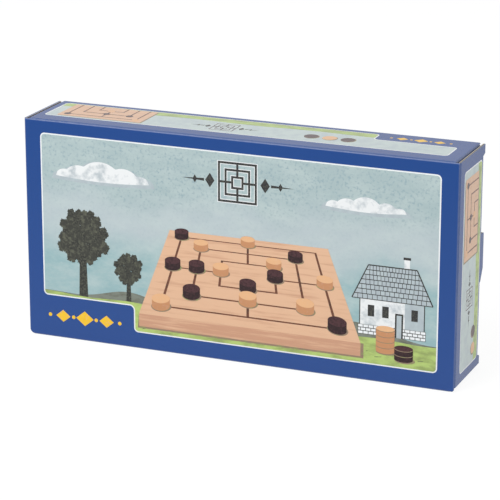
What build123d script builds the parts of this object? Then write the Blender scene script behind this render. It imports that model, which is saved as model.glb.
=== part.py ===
"""Retail carton of a nine mens morris set: tuck-end board box with the folding wooden game inside.

Frame: +Z up, X along the length, front towards -Y, origin at the middle of the base.
"""
import os
from math import sqrt

from build123d import *

# ---------------------------------------------------------------- folding board sizes
cassette_length = 276.0
cassette_width = 136.0          # one half of the square playing board
tray_depth = 21.0
panel_thickness = 4.0
rail_thickness = 9.0
wood_round = 1.0
line_width = 2.0
line_depth = 0.8
diagram_margin = 24.0           # outer square to the edge of the board
square_step = 36.0              # from one square of the diagram to the next

hinge_spacing = 160.0
hinge_length = 30.0
hinge_reach = 8.0               # leaf width up the rail
leaf_thickness = 0.8
barrel_radius = 1.25
hinge_pin_radius = 0.55
hinge_pin_clearance = 0.05
knuckle_play = 0.2
screw_radius = 1.0
screw_head_radius = 2.0
screw_depth = 8.0
screw_spacing = 20.0
screw_rise = 5.0
screw_sink = 0.1                # screw heads below the leaf, clear of the other leaf

latch_plate_length = 13.0
latch_plate_width = 8.0
latch_plate_thickness = 0.6
latch_offset = 7.0              # pivot and stud each side of the parting line
latch_pin_radius = 1.0
latch_pin_clearance = 0.05
latch_head_radius = 1.8
latch_head_thickness = 0.5
hook_width = 6.0
hook_thickness = 1.0
hook_lift = 0.5                 # hook above the plates, clear of the nail heads
hook_play = 0.1
hook_notch = 3.0
nail_radius = 0.6
nail_head_radius = 1.2
nail_head_thickness = 0.35
nail_depth = 6.0
nail_spacing = 9.0

man_diameter = 23.5
man_thickness = 6.0
man_edge = 1.0
man_spacing = 25.0
man_play = 0.05
men_per_stack = 3
stacks_per_side = 3
stack_start = 12.0              # first stack's centre from the middle of the folding board

leaflet_length = 200.0
leaflet_thickness = 0.5
leaflet_play = 0.1
leaflet_margin = 8.0            # leaflet lower than the folding board

# ---------------------------------------------------------------- carton sizes
board = 1.5                     # thickness of the laminated micro-flute board
left_corner_radius = 5.5        # clipped lower corners of the front panel
right_corner_radius = 3.3
crease_gap = 0.1                # free play left at every crease that moves
closure_trim = 0.4              # closures stop this far short of the top
closure_lift = 2.8              # and this far above the base, beside the clipped corners
closure_stand_off = 1.2         # slot between a closure and the dust flaps behind it
back_end_gap = 0.4              # back panel stops this far short of a closure
end_room = 2.8                  # folding board to the dust flaps
tongue_room = 1.85              # folding board to the tongues
latch_headroom = 0.8            # latch to the top panel
glue_flap_width = 13.0
glue_flap_inset = 6.0

tongue_length = 11.0
tongue_back_gap = 0.95          # tongue to the inner face of the back panel
tongue_corner = 5.0
slit_upper = 7.0                # lengths of the slit-lock shoulders
slit_lower = 9.0
slit_play = 1.0
pull_tab_height = 31.0
pull_tab_reach = 4.6            # how far the tab stands out past the tuck crease
pull_tab_slope = 8.0
tab_corner = 1.5

dust_flap_length = 40.0
dust_shoulder = 4.0             # straight part beside the closure's crease
dust_front_slope = 0.54         # side step per unit of length, so that the flap clears the closure
dust_rear_slope = 0.10
dust_side_gap = 0.4
dust_lock_step = 0.55           # rear edge to tongue, past the slit-lock shoulder
dust_tip_radius = 3.0

# ---------------------------------------------------------------- places that follow from the sizes
latch_height = latch_plate_thickness + hook_lift + hook_thickness + hook_play + latch_head_thickness
half_length = cassette_length / 2 + end_room + 2 * board + closure_stand_off
inner_depth = leaflet_thickness + 2 * leaflet_play + 2 * tray_depth + tongue_room + board + tongue_back_gap
half_depth = inner_depth / 2 + board
carton_height = 2 * board + 2 * barrel_radius + cassette_width + latch_height + latch_headroom
carton_length = 2 * half_length
carton_depth = 2 * half_depth
inner_front = -half_depth + board
inner_back = half_depth - board
inner_top = carton_height - board
tongue_face = inner_back - tongue_back_gap              # outer face of the tongues
dust_face = half_length - board - closure_stand_off     # outer face of the dust flaps
front_corners = (left_corner_radius, right_corner_radius)
bottom_corners = [max(corner - (half_length - dust_face), crease_gap) for corner in front_corners]
back_end = half_length - board - back_end_gap

cassette_front = inner_front + leaflet_thickness + 2 * leaflet_play
parting = cassette_front + tray_depth
cassette_base = board + 2 * barrel_radius               # the folding board stands on its hinge barrels
cassette_top = cassette_base + cassette_width
hinge_axis = cassette_base - barrel_radius
rail_inside = cassette_length / 2 - rail_thickness
cavity_floor = cassette_base + rail_thickness
latch_deck = cassette_top + latch_plate_thickness
hook_base = latch_deck + hook_lift
mill_squares = [cassette_width - diagram_margin - step * square_step for step in range(3)]    # half-sides

os.makedirs("parts", exist_ok=True)


def save(piece, name):
    """Label a finished piece and write it as one STEP file."""
    piece.part.label = name
    export_step(piece.part, f"parts/{name}.step")


# ---------------------------------------------------------------- carton tube
def section_plane(origin, along, outward):
    """Plane whose X runs along a panel and whose Y points out of the box."""
    return Plane(origin=origin, x_dir=along, z_dir=Vector(along).cross(Vector(outward)))


def panel_section(start, end, folded_start=False, folded_end=False):
    """Section of a panel: outer face on the local X axis, thickness towards -Y.

    A folded edge ends on the 45 degree plane of its crease, with a round outer skin.
    """
    bend = board * (1 - sqrt(0.5))
    first = start + board if folded_start else start
    last = end - board if folded_end else end
    with BuildSketch() as section:
        with BuildLine():
            if folded_start:
                CenterArc((first, -board), board, 90, 45)
                Line((start + bend, -bend), (first, -board))
            else:
                Line((start, 0), (start, -board))
            if folded_end:
                CenterArc((last, -board), board, 45, 45)
                Line((end - bend, -bend), (last, -board))
            else:
                Line((end, 0), (end, -board))
            Line((first, 0), (last, 0))
            Line((first, -board), (last, -board))
        make_face()
    return section.sketch


def crossed_panel(first_plane, first_section, second_plane, second_section):
    """Flat panel whose two pairs of edges follow the two sections."""
    with BuildPart() as panel:
        with BuildSketch(first_plane):
            add(first_section)
        extrude(amount=carton_length, both=True)
        with BuildSketch(second_plane):
            add(second_section)
        extrude(amount=carton_length, both=True, mode=Mode.INTERSECT)
    return panel.part


right, rear, up = (1, 0, 0), (0, 1, 0), (0, 0, 1)
front, down = (0, -1, 0), (0, 0, -1)


def clip_corners(outline, radii):
    """Round the two lowest corners of a flat outline: the left one, then the right one."""
    for end, radius in zip((0, -1), radii):
        fillet(outline.vertices().group_by(Axis.Y)[0].sort_by(Axis.X)[end], radius)


with BuildPart() as front_panel:
    add(crossed_panel(
        section_plane((0, -half_depth, 0), right, front),
        panel_section(-half_length, half_length, True, True),
        section_plane((0, -half_depth, 0), up, front),
        panel_section(0, carton_height, True, True)))
    with BuildSketch(Plane.XZ) as front_outline:
        with Locations((0, carton_height / 2)):
            Rectangle(carton_length, carton_height)
        clip_corners(front_outline, front_corners)
    extrude(amount=half_depth, mode=Mode.INTERSECT)
save(front_panel, "front_panel")

with BuildPart() as top_panel:
    add(crossed_panel(
        section_plane((0, 0, carton_height), right, up),
        panel_section(-dust_face, dust_face, True, True),
        section_plane((0, 0, carton_height), rear, up),
        panel_section(-half_depth, half_depth, True, False)))
save(top_panel, "top_panel")

with BuildPart() as bottom_panel:
    add(crossed_panel(
        section_plane((0, 0, 0), right, down),
        panel_section(-dust_face, dust_face, True, True),
        section_plane((0, 0, 0), rear, down),
        panel_section(-half_depth, half_depth, True, True)))
    with BuildSketch() as bottom_outline:
        Rectangle(2 * dust_face, carton_depth)
        clip_corners(bottom_outline, bottom_corners)
    extrude(amount=board, mode=Mode.INTERSECT)
save(bottom_panel, "bottom_panel")

with BuildPart() as back_panel:
    add(crossed_panel(
        section_plane((0, half_depth, 0), right, rear),
        panel_section(-back_end, back_end),
        section_plane((0, half_depth, 0), up, rear),
        panel_section(0, inner_top, True, True)))
save(back_panel, "back_panel")

with BuildPart() as glue_flap:
    add(crossed_panel(
        section_plane((0, 0, inner_top), right, up),
        panel_section(glue_flap_inset - dust_face, dust_face - glue_flap_inset),
        section_plane((0, 0, inner_top), rear, up),
        panel_section(half_depth - glue_flap_width, half_depth, False, True)))
save(glue_flap, "glue_flap")


# ---------------------------------------------------------------- closures and their tongues
shoulder_root = tongue_face - 2 * board
closure_low = closure_lift
closure_high = carton_height - closure_trim
slit_high = carton_height - slit_upper
tab_low = (carton_height - pull_tab_height) / 2
tab_high = tab_low + pull_tab_height
tab_edge = tongue_face + pull_tab_reach
tab_recess = half_length - board - pull_tab_reach    # the tab is cut out of the tongue


def save_both_ends(piece, name):
    """Write a piece of the right end, and its mirror image at the left end."""
    save(piece, f"right_{name}")
    with BuildPart() as opposite:
        mirror(piece.part, about=Plane.YZ)
    save(opposite, f"left_{name}")


upper_shoulder = [
    (shoulder_root, closure_high), (half_depth, closure_high), (half_depth, slit_high + slit_play),
    (tongue_face, slit_high), (shoulder_root, slit_high)]
lower_shoulder = [
    (shoulder_root, closure_low), (half_depth, closure_low), (half_depth, slit_lower - slit_play),
    (tongue_face, slit_lower), (shoulder_root, slit_lower)]
pull_tab = [
    (shoulder_root, tab_high), (tab_edge, tab_high), (tab_edge, tab_low + pull_tab_slope),
    (tongue_face, tab_low), (shoulder_root, tab_low)]

with BuildPart() as closure_panel:
    with BuildSketch(section_plane((half_length, 0, 0), rear, right)):
        add(panel_section(crease_gap - half_depth, tongue_face, True, True))
    extrude(amount=carton_height, both=True)
    with BuildSketch(Plane.YZ.offset(half_length - board)) as closure_outline:
        with BuildLine():
            Polyline(
                (-half_depth, closure_low), (tongue_face, closure_low),
                (tongue_face, closure_high), (-half_depth, closure_high), close=True)
        make_face()
    extrude(amount=board, mode=Mode.INTERSECT)
    with BuildSketch(Plane.YZ.offset(half_length - board)):
        for ear in (upper_shoulder, lower_shoulder, pull_tab):
            with BuildLine():
                Polyline(*ear, close=True)
            make_face()
    extrude(amount=board)
    fillet(closure_panel.edges().filter_by(Axis.X).group_by(Axis.Y)[-1], tab_corner)
save_both_ends(closure_panel, "closure_panel")

with BuildPart() as tuck_tongue:
    with BuildSketch(section_plane((0, tongue_face, 0), right, rear)):
        add(panel_section(half_length - tongue_length, half_length - crease_gap, False, True))
    extrude(amount=carton_height, both=True)
    with BuildSketch(Plane.XZ.offset(-tongue_face)) as tongue_outline:
        with BuildLine():
            Polyline(
                (half_length, slit_lower + slit_play), (half_length, slit_high - slit_play),
                (half_length - tongue_length, slit_high - slit_play),
                (half_length - tongue_length, slit_lower + slit_play), close=True)
        make_face()
        fillet(tongue_outline.vertices().group_by(Axis.X)[0], tongue_corner)
        with BuildLine():
            Polyline(
                (half_length, tab_high + crease_gap), (tab_recess, tab_high + crease_gap),
                (tab_recess, tab_low + pull_tab_slope), (half_length - board, tab_low - crease_gap),
                (half_length, tab_low - crease_gap), close=True)
        make_face(mode=Mode.SUBTRACT)
    extrude(amount=board, mode=Mode.INTERSECT)
save_both_ends(tuck_tongue, "tuck_tongue")


# ---------------------------------------------------------------- dust flaps
dust_front = inner_front + dust_side_gap
dust_shoulder_rear = inner_back - dust_side_gap
dust_rear = tongue_face - board - dust_lock_step


def dust_flap(upward, lock_length):
    """Dust flap of the right end, hanging from the top or standing on the base."""
    def level(distance):
        return distance if upward else carton_height - distance

    run = dust_flap_length - dust_shoulder
    reach = level(dust_flap_length)
    with BuildPart() as flap:
        with BuildSketch(section_plane((dust_face, 0, 0), up, right)):
            if upward:
                add(panel_section(crease_gap, reach, True, False))
            else:
                add(panel_section(reach, carton_height - crease_gap, False, True))
        extrude(amount=carton_depth, both=True)
        with BuildSketch(Plane.YZ.offset(dust_face)) as outline:
            with BuildLine():
                Polyline(
                    (dust_front, level(0)), (dust_front, level(dust_shoulder)),
                    (dust_front + dust_front_slope * run, reach),
                    (dust_rear - dust_rear_slope * run, reach), (dust_rear, level(lock_length)),
                    (dust_shoulder_rear, level(lock_length)), (dust_shoulder_rear, level(0)), close=True)
            make_face()
            fillet(outline.vertices().group_by(Axis.Y)[-1 if upward else 0], dust_tip_radius)
        extrude(amount=-board, mode=Mode.INTERSECT)
    return flap


save_both_ends(dust_flap(False, slit_upper - slit_play), "upper_dust_flap")
save_both_ends(dust_flap(True, slit_lower - slit_play), "lower_dust_flap")


# ---------------------------------------------------------------- folding cassette: boards and rails
parting_plane = Plane.XZ.offset(-parting)
hinge_places = [-hinge_spacing / 2, hinge_spacing / 2]
on_base = (Align.CENTER, Align.CENTER, Align.MIN)
on_edge = (Align.CENTER, Align.MIN)
low_corner = (Align.CENTER, Align.MIN, Align.MIN)


def save_both_halves(piece, name):
    """Write a piece of the front half, and its mirror image in the back half."""
    save(piece, f"front_half_{name}")
    with BuildPart() as opposite:
        mirror(piece.part, about=parting_plane)
    save(opposite, f"back_half_{name}")


def half_diagram():
    """Half of the board's diagram, drawn up from the fold edge at Y = 0."""
    outer, inner = mill_squares[0], mill_squares[-1]
    with BuildSketch() as diagram:
        for half_side in mill_squares:
            Rectangle(2 * half_side + line_width, half_side + line_width / 2, align=on_edge)
            Rectangle(2 * half_side - line_width, half_side - line_width / 2, align=on_edge,
                      mode=Mode.SUBTRACT)
        with Locations((0, inner)):
            Rectangle(line_width, outer - inner, align=on_edge)
        with Locations((-(inner + outer) / 2, 0), ((inner + outer) / 2, 0)):
            Rectangle(outer - inner, line_width / 2, align=on_edge)
    return diagram.sketch


with BuildPart() as lines:
    with BuildSketch(Plane(origin=(0, cassette_front, cassette_base), x_dir=right, z_dir=front)):
        add(half_diagram())
    extrude(amount=-line_depth)
save_both_halves(lines, "lines")

with BuildPart() as face_board:
    with Locations((0, cassette_front, cassette_base)):
        Box(cassette_length, panel_thickness, cassette_width, align=low_corner)
    fillet(face_board.faces().sort_by(Axis.Y)[0].edges(), wood_round)
    add(lines.part, mode=Mode.SUBTRACT)
save_both_halves(face_board, "face_board")

with BuildPart() as hinge_screws_front:
    for place in hinge_places:
        for side in (-screw_spacing / 2, screw_spacing / 2):
            seat = (place + side, parting - screw_sink, cassette_base + screw_rise)
            with Locations(Location(seat, (90, 0, 0))):
                Cone(screw_head_radius, screw_radius, leaf_thickness, align=on_base)
                Cylinder(screw_radius, screw_depth, align=on_base)

with BuildPart() as latch_nails_front:
    for side in (-nail_spacing / 2, nail_spacing / 2):
        with Locations((side, parting - latch_offset, latch_deck)):
            Cylinder(nail_head_radius, nail_head_thickness, align=on_base)
            Cylinder(nail_radius, nail_depth, align=(Align.CENTER, Align.CENTER, Align.MAX))

rail_front = cassette_front + panel_thickness
rail_depth = tray_depth - panel_thickness

with BuildPart() as hinge_rail:
    with Locations((0, rail_front, cassette_base)):
        Box(cassette_length, rail_depth, rail_thickness, align=low_corner)
    with Locations(*[(place, parting, cassette_base) for place in hinge_places]):
        Box(hinge_length, leaf_thickness, hinge_reach, align=(Align.CENTER, Align.MAX, Align.MIN),
            mode=Mode.SUBTRACT)
    add(hinge_screws_front.part, mode=Mode.SUBTRACT)
save_both_halves(hinge_rail, "hinge_rail")

with BuildPart() as latch_rail:
    with Locations((0, rail_front, cassette_top - rail_thickness)):
        Box(cassette_length, rail_depth, rail_thickness, align=low_corner)
    add(latch_nails_front.part, mode=Mode.SUBTRACT)
save_both_halves(latch_rail, "latch_rail")

for end_name, end_side in (("left", -1), ("right", 1)):
    with BuildPart() as end_rail:
        with Locations((end_side * (rail_inside + rail_thickness / 2), rail_front, cavity_floor)):
            Box(rail_thickness, rail_depth, cassette_width - 2 * rail_thickness, align=low_corner)
    save_both_halves(end_rail, f"{end_name}_rail")


# ---------------------------------------------------------------- cassette hinges
knuckle = hinge_length / 3


def hinge_leaves(knuckles, side, screws):
    """Both hinge leaves of one half: recessed plates with their share of the knuckles."""
    deep = Align.MAX if side == "front" else Align.MIN
    with BuildPart() as leaves:
        for place in hinge_places:
            with Locations((place, parting, cassette_base + knuckle_play)):
                Box(hinge_length, leaf_thickness, hinge_reach - knuckle_play,
                    align=(Align.CENTER, deep, Align.MIN))
            with Locations(*[(place + shift * knuckle, parting, hinge_axis) for shift in knuckles]):
                Box(knuckle - knuckle_play, leaf_thickness, 2 * barrel_radius + knuckle_play,
                    align=(Align.CENTER, deep, Align.MIN))
            with Locations(*[Location((place + shift * knuckle, parting, hinge_axis), (0, 90, 0))
                             for shift in knuckles]):
                Cylinder(barrel_radius, knuckle - knuckle_play)
                Cylinder(hinge_pin_radius + hinge_pin_clearance, knuckle, mode=Mode.SUBTRACT)
        add(screws, mode=Mode.SUBTRACT)
    return leaves


hinge_screws_back = mirror(hinge_screws_front.part, about=parting_plane)
save(hinge_leaves((-1, 1), "front", hinge_screws_front.part), "hinge_leaves_front")
save(hinge_leaves((0,), "back", hinge_screws_back), "hinge_leaves_back")

with BuildPart() as hinge_screws:
    add(hinge_screws_front.part)
    add(hinge_screws_back)
save(hinge_screws, "hinge_screws")

with BuildPart() as hinge_pins:
    with Locations(*[Location((place, parting, hinge_axis), (0, 90, 0)) for place in hinge_places]):
        Cylinder(hinge_pin_radius, hinge_length)
save(hinge_pins, "hinge_pins")


# ---------------------------------------------------------------- cassette latch
latch_head_base = hook_base + hook_thickness + hook_play


def latch_plate(side, nails):
    """Nailed brass plate with a headed post, at one side of the parting line."""
    centre = parting + side * latch_offset
    with BuildPart() as plate:
        with Locations((0, centre, cassette_top)):
            Box(latch_plate_length, latch_plate_width, latch_plate_thickness, align=on_base)
        with Locations((0, centre, latch_deck)):
            Cylinder(latch_pin_radius, latch_head_base - latch_deck, align=on_base)
        with Locations((0, centre, latch_head_base)):
            Cylinder(latch_head_radius, latch_head_thickness, align=on_base)
        add(nails, mode=Mode.SUBTRACT)
    return plate


latch_nails_back = mirror(latch_nails_front.part, about=parting_plane)
save(latch_plate(-1, latch_nails_front.part), "latch_keeper")
save(latch_plate(1, latch_nails_back), "latch_pivot_plate")

with BuildPart() as latch_nails:
    add(latch_nails_front.part)
    add(latch_nails_back)
save(latch_nails, "latch_nails")

with BuildPart() as latch_hook:
    with BuildSketch(Plane.XY.offset(hook_base)):
        with Locations((0, parting)):
            SlotCenterToCenter(2 * latch_offset, hook_width, rotation=90)
        with Locations((0, parting + latch_offset)):
            Circle(latch_pin_radius + latch_pin_clearance, mode=Mode.SUBTRACT)
        with Locations((0, parting - latch_offset)):
            Circle(hook_notch / 2, mode=Mode.SUBTRACT)
            Rectangle(hook_width, hook_notch, align=(Align.MAX, Align.CENTER), mode=Mode.SUBTRACT)
    extrude(amount=hook_thickness)
save(latch_hook, "latch_hook")


# ---------------------------------------------------------------- what lies inside
def men(side):
    """Nine loose men in short stacks on the lower rails."""
    with BuildPart() as group:
        for column in range(stacks_per_side):
            for layer in range(men_per_stack):
                place = (side * (stack_start + column * man_spacing), parting,
                         cavity_floor + layer * (man_thickness + man_play))
                with Locations(place):
                    Cylinder(man_diameter / 2, man_thickness, align=on_base)
        fillet(group.edges().filter_by(GeomType.CIRCLE), man_edge)
    return group


save(men(-1), "light_men")
save(men(1), "dark_men")

with BuildPart() as rules_leaflet:
    with Locations((0, inner_front + leaflet_play, board)):
        Box(leaflet_length, leaflet_thickness, cassette_width - leaflet_margin, align=low_corner)
save(rules_leaflet, "rules_leaflet")
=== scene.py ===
"""Dresses a nine men's morris box: a printed carton, the folding board in it, its men, brass and leaflet."""

import math
from collections import namedtuple
from functools import partial

import bmesh
import bpy
from bpy.props import FloatProperty, FloatVectorProperty, PointerProperty
from bpy.types import Operator, Panel, PropertyGroup
from mathutils import Matrix, Vector


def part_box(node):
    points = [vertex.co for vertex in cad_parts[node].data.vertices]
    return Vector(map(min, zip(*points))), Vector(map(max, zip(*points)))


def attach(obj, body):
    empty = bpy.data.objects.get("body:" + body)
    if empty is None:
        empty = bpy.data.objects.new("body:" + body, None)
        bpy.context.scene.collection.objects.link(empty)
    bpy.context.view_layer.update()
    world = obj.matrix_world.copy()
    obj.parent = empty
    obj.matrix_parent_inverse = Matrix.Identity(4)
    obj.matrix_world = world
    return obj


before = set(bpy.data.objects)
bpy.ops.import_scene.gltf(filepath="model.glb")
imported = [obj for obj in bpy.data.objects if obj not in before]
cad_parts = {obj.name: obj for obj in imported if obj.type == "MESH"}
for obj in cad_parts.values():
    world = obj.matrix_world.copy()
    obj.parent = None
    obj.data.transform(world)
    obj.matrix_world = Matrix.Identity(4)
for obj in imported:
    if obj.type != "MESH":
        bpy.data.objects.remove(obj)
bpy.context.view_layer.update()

bl_info = {
    "name": "Nine men's morris box",
    "version": (1, 0, 0),
    "blender": (4, 5, 0),
    "location": "3D View > Sidebar > Morris Box",
    "description": "Prints the carton and finishes the wood, brass and paper inside it",
    "category": "Object",
}

MM = 0.001
RIGHT, BACK, UP = Vector((1, 0, 0)), Vector((0, 1, 0)), Vector((0, 0, 1))


# ---- faces of the carton

Face = namedtuple("Face", "body corner right up out width height")


def at(face, u, v, rise):
    """The point u and v millimetres along a face and rise millimetres off it."""
    return face.corner + (face.right * u + face.up * v + face.out * rise) * MM


def face_on(body, corner, right, up, width, height):
    """A flat outside with its lower left corner, its directions and its size in millimetres."""
    return Face(body, Vector(corner), right, up, right.cross(up), width, height)


def carton_faces():
    """The outsides of the carton that carry a picture, from the places of its panels."""
    front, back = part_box("front_panel")[0].y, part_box("back_panel")[1].y
    base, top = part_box("bottom_panel")[0].z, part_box("top_panel")[1].z
    left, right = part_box("left_closure_panel")[0].x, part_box("right_closure_panel")[1].x
    wide, high, deep = (right - left) / MM, (top - base) / MM, (back - front) / MM
    end_deep = (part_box("right_tuck_tongue")[1].y - front) / MM
    return {
        "front": face_on("carton", (left, front, base), RIGHT, UP, wide, high),
        "back": face_on("carton", (right, back, base), -RIGHT, UP, wide, high),
        "top": face_on("carton", (left, front, top), RIGHT, BACK, wide, deep),
        "right": face_on("right_closure", (right, front, top), -UP, BACK, high, end_deep),
        "left": face_on("left_closure", (left, front, base), UP, BACK, high, end_deep),
    }


FACES = carton_faces()
LENGTH = FACES["front"].width
HEIGHT = FACES["front"].height
DEPTH = FACES["top"].height


# ---- settings

def linear(code):
    """An sRGB hex colour as the three linear values that Blender works in."""
    parts = [int(code[start:start + 2], 16) / 255 for start in (0, 2, 4)]
    return tuple(c / 12.92 if c <= 0.04045 else ((c + 0.055) / 1.055) ** 2.4 for c in parts)


def colour(name, description, code):
    """A colour setting whose default is an sRGB hex value."""
    return FloatVectorProperty(
        name=name, description=description, subtype="COLOR", size=3, min=0, max=1, default=linear(code))


def length(name, description, millimetres):
    """A length setting whose default is given in millimetres."""
    return FloatProperty(
        name=name, description=description, unit="LENGTH", min=0, precision=5, default=millimetres * MM)


def angle(name, description, degrees):
    """An angle setting whose default is given in degrees."""
    return FloatProperty(
        name=name, description=description, subtype="ANGLE", default=math.radians(degrees))


class MorrisBoxPrintSizes(PropertyGroup):
    side_border: length("Side border", "Blue left and right of the front picture", 11.4)
    top_border: length("Top border", "Blue above the front picture", 8.6)
    low_border: length("Low border", "Blue below the front picture", 11.0)
    corner: length("Corner", "Radius at the corners of each picture", 3.0)
    outline: length("Outline", "Width of the white line round each picture", 0.85)
    patch_width: length("Patch width", "Blue patch in the picture's lower left corner", 64.0)
    patch_height: length("Patch height", "Height of that patch above the low border", 17.4)
    film: length("Film", "Thickness of one layer of ink and film", 0.02)
    meadow: length("Meadow", "Height of the printed meadow at its left", 20.4)


class MorrisBoxInks(PropertyGroup):
    # The carton's blue runs from blue_high at the top to blue at the base; the paler blue low down is a
    # painted reflection of the white floor in the film.
    blue: colour("Blue", "Border of the carton, low on its sides", "24498A")
    blue_high: colour("Blue, high", "Border of the carton near its top", "073F84")
    white: colour("White", "Line round each picture", "E6EAEC")
    sky: colour("Sky", "Main colour of the sky", "A3B6B8")
    sky_speck: colour("Sky speck", "Darker dabs in the upper sky", "8FA5AD")
    sky_haze: colour("Sky haze", "Pale band across the middle of the sky", "B2BFC3")
    sky_low: colour("Low sky", "Stronger colour above the meadow", "90B0B4")
    pale: colour("Pale", "Light ground of the top and the ends", "BECCCA")
    cloud: colour("Cloud", "Bright side of the clouds", "E4E7E8")
    cloud_shade: colour("Cloud shade", "Underside of the clouds", "A9B4BA")
    hill: colour("Hill", "Far hills", "7A8076")
    meadow: colour("Meadow", "Grass", "AFC673")
    grass: colour("Grass", "Darker strokes in the grass", "8B9A5E")
    leaves: colour("Leaves", "Crowns of the trees", "5C5E50")
    leaves_dark: colour("Leaves, dark", "Shade in the crowns", "2E2F2C")
    timber: colour("Timber", "Printed playing boards", "DBB292")
    timber_dark: colour("Timber, dark", "Grain and edges of the printed boards", "C4967A")
    line: colour("Line", "Printed lines of the game", "6F4534")
    light_man: colour("Light man", "Printed light men", "E0B084")
    light_side: colour("Light man's side", "Shaded side of the light men", "C08A62")
    dark_man: colour("Dark man", "Printed dark men", "4A2C30")
    dark_side: colour("Dark man's side", "Shaded side of the dark men", "2A181B")
    ornament: colour("Ornament", "Dark ornament above the picture", "2F2F31")
    amber: colour("Amber", "Marks on the blue patch", "EFC02E")
    shade: colour("Shade", "Printed shadow under the boards and men", "8F7A66")


class MorrisBoxFinishes(PropertyGroup):
    liner: colour("Liner", "Raw inside of the carton board", "B9AD9C")
    liner_fibre: colour("Liner fibre", "Darker fibres in the raw board", "978A79")
    edge_paper: colour("Edge paper", "Cut edges of the liners and the flutes", "C4BDB1")
    # Painted shade of the hollows between the flutes, on the flat cut edges.
    flute_hollow_shade: colour("Edge gap", "Dark between the flutes", "7C766C")
    beech: colour("Beech", "Boards and rails of the folding board", "D9AE86")
    beech_grain: colour("Beech grain", "Darker grain of the beech", "C08E63")
    stain: colour("Stain", "Lines stained into the playing boards", "4F3024")
    light_wood: colour("Light wood", "Light men", "E3BC88")
    light_grain: colour("Light grain", "Grain of the light men", "C99C66")
    dark_wood: colour("Dark wood", "Dark men", "472B26")
    dark_grain: colour("Dark grain", "Grain of the dark men", "2B1815")
    brass: colour("Brass", "Hinges, latch, screws and nails", "E0BE6E")
    paper: colour("Paper", "Folded leaflet", "EDEAE0")
    paper_fibre: colour("Paper fibre", "Fibres in the leaflet", "DCD7C8")


class MorrisBoxStage(PropertyGroup):
    floor: colour("Floor", "Colour of the floor", "F4F4F4")
    floor_radius: length("Floor radius", "How far the floor reaches", 4000)
    azimuth: angle("Azimuth", "Turn of the camera from straight ahead", 22.36)
    elevation: angle("Elevation", "Height of the camera above the horizon", 17.16)
    roll: angle("Roll", "Tilt of the camera about its own axis", 0.05)
    distance: length("Distance", "Camera to the point it looks at", 1503.7)
    lens: FloatProperty(name="Lens", description="Focal length", unit="CAMERA", default=171.4)
    sky_light: FloatProperty(
        name="Sky light", description="Even light from all round", min=0, default=0.55)
    key_light: FloatProperty(
        name="Key light", description="Power of the lamp at the upper left, in watts", min=0, default=26)
    fill_light: FloatProperty(
        name="Fill light", description="Power of the lamp at the right, in watts", min=0, default=3)


# ---- materials

def add_node(tree, kind, values=None, out=0, **settings):
    """Adds a node with its settings, fills or links its inputs, and gives the output named or
    numbered out. A colour is three linear values."""
    node = tree.nodes.new("ShaderNode" + kind)
    for setting, choice in settings.items():
        setattr(node, setting, choice)
    for key, value in (values or {}).items():
        socket = node.inputs[key]
        if isinstance(value, bpy.types.NodeSocket):
            tree.links.new(value, socket)
        else:
            socket.default_value = (*value, 1) if socket.type == "RGBA" else value
    return node.outputs[out] if node.outputs else None


def emptied(owner):
    """Clears the node tree of a material or a world, and gives add_node with that tree filled in."""
    owner.use_nodes = True
    owner.node_tree.nodes.clear()
    return partial(add_node, owner.node_tree)


def new_material(name):
    """A material, add_node for its empty tree, and the place on the piece in millimetres."""
    material = bpy.data.materials.new(name)
    add = emptied(material)
    spot = add("TexCoord", out="Object")
    return material, add, add("VectorMath", {0: spot, "Scale": 1 / MM}, operation="SCALE")


def finish_material(material, values):
    """Closes a material's tree with one principled surface, and gives the material."""
    surface = add_node(material.node_tree, "BsdfPrincipled", values)
    add_node(material.node_tree, "OutputMaterial", {"Surface": surface})
    return material


def mottled(add, place, size, edge, ground, patch, most=1.0, detail=6.0, rough=0.5, warp=0.0):
    """Patches of one colour on the ground of another, by a noise size millimetres wide. They grow
    from nothing to the share most between the two levels in edge. Gives the colour and the noise."""
    noise = add(
        "TexNoise",
        {"Vector": place, "Scale": 1 / size, "Detail": detail, "Roughness": rough, "Distortion": warp})
    cover = add("MapRange", {"Value": noise, "From Min": edge[0], "From Max": edge[1], "To Max": most})
    return add("Mix", {0: cover, 6: ground, 7: patch}, 2, data_type="RGBA"), noise


FILM_GLOSS = {"Roughness": 0.27, "IOR": 1.37}
FLUTE_SWELL = 45       # millimetres across one swell of the film
ORANGE_PEEL = 1.6      # millimetres across one dimple of the film


def film_relief(add, place):
    """The slight unevenness of film over fluted board: a slow swell and a finer orange peel."""
    swell = add("TexNoise", {"Vector": place, "Scale": 1 / FLUTE_SWELL, "Detail": 1.0})
    peel = add("TexNoise", {"Vector": place, "Scale": 1 / ORANGE_PEEL, "Detail": 2.0})
    slow = add("Bump", {"Height": swell, "Strength": 0.5, "Distance": 0.9 * MM})
    return add("Bump", {"Height": peel, "Strength": 0.35, "Distance": 0.02 * MM, "Normal": slow})


def printed_ink(name, base, speck, dab, share, squeeze=1):
    """Offset ink under gloss film: the base colour with dabs of a second one, dab millimetres wide.
    share says how much they cover, and a squeeze below 1 draws them out along the face."""
    material, add, place = new_material(name)
    drawn = add("VectorMath", {0: place, 1: (squeeze, 1, 1)}, operation="MULTIPLY")
    level = 0.68 - 0.34 * share
    tint, _ = mottled(add, drawn, dab, (level - 0.09, level + 0.12), base, speck, 0.85, 5.0, 0.6)
    return finish_material(
        material, {"Base Color": tint, "Normal": film_relief(add, place), **FILM_GLOSS})


# Heights between which the low sky turns to haze and the haze to the upper sky, in millimetres,
# once a drifting noise has added its share of SKY_DRIFT to the height.
SKY_BANDS = ((78.0, 104.0), (108.0, 136.0))
SKY_DRIFT = 42.0
DRIFT_WIDTH = 38       # millimetres across one cloud of that noise


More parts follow.
